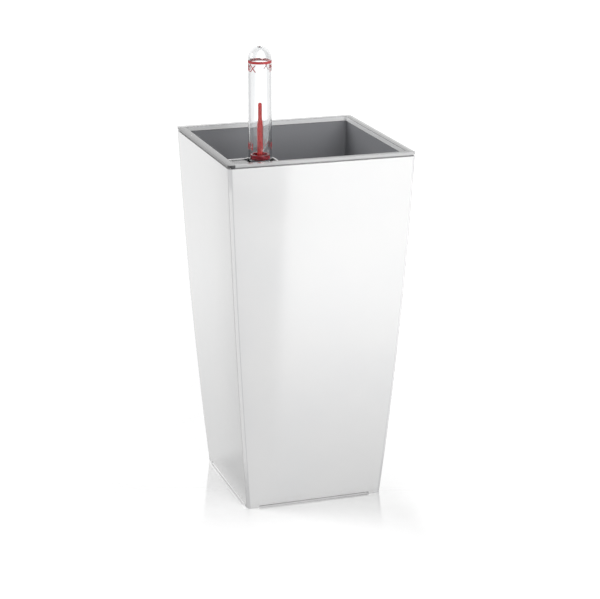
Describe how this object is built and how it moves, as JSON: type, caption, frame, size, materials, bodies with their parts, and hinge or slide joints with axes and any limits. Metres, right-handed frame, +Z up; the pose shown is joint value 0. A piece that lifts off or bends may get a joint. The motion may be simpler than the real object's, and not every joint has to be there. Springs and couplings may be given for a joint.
{
  "type": "self-watering planter",
  "caption": "Tapered square self-watering planter with a hung planting liner, a clear rim frame, felt wicks and a float water level indicator that lifts out at one corner.",
  "frame": {"origin": "middle of the base, on the surface that the planter stands on", "axes": "+Z up; the indicator stands in the corner at -X, -Y; -Y is the front face"},
  "size_m": [0.1376, 0.1376, 0.338],
  "materials": {
    "gloss_white": "high gloss lacquered",
    "clear_grey": "translucent, smooth",
    "dark_grey": "satin moulded",
    "felt": "needled felt",
    "clear": "clear, polished",
    "red": "smooth moulded",
    "pale_grey": "satin moulded",
    "foam": "closed-cell foam"
  },
  "bodies": {
    "planter": {"outer_planter": "gloss_white"},
    "liner": {"liner_frame": "clear_grey", "planter_liner": "dark_grey", "wick_left": "felt", "wick_right": "felt"},
    "indicator": {"sight_tube": "clear", "min_ring": "red", "indicator_shaft": "dark_grey", "rod_guide": "pale_grey", "indicator_foot": "pale_grey"},
    "float": {"float_body": "foam", "float_rod": "red"}
  },
  "joints": [
    {"name": "liner_lift", "type": "slide", "parent": "planter", "child": "liner", "axis": [0, 0, 1], "range_m": [0, 0.26]},
    {"name": "indicator_lift", "type": "slide", "parent": "liner", "child": "indicator", "axis": [0, 0, 1], "range_m": [0, 0.256]},
    {"name": "float_travel", "type": "slide", "parent": "indicator", "child": "float", "axis": [0, 0, 1], "range_m": [-0.0362, 0.0289]}
  ]
}
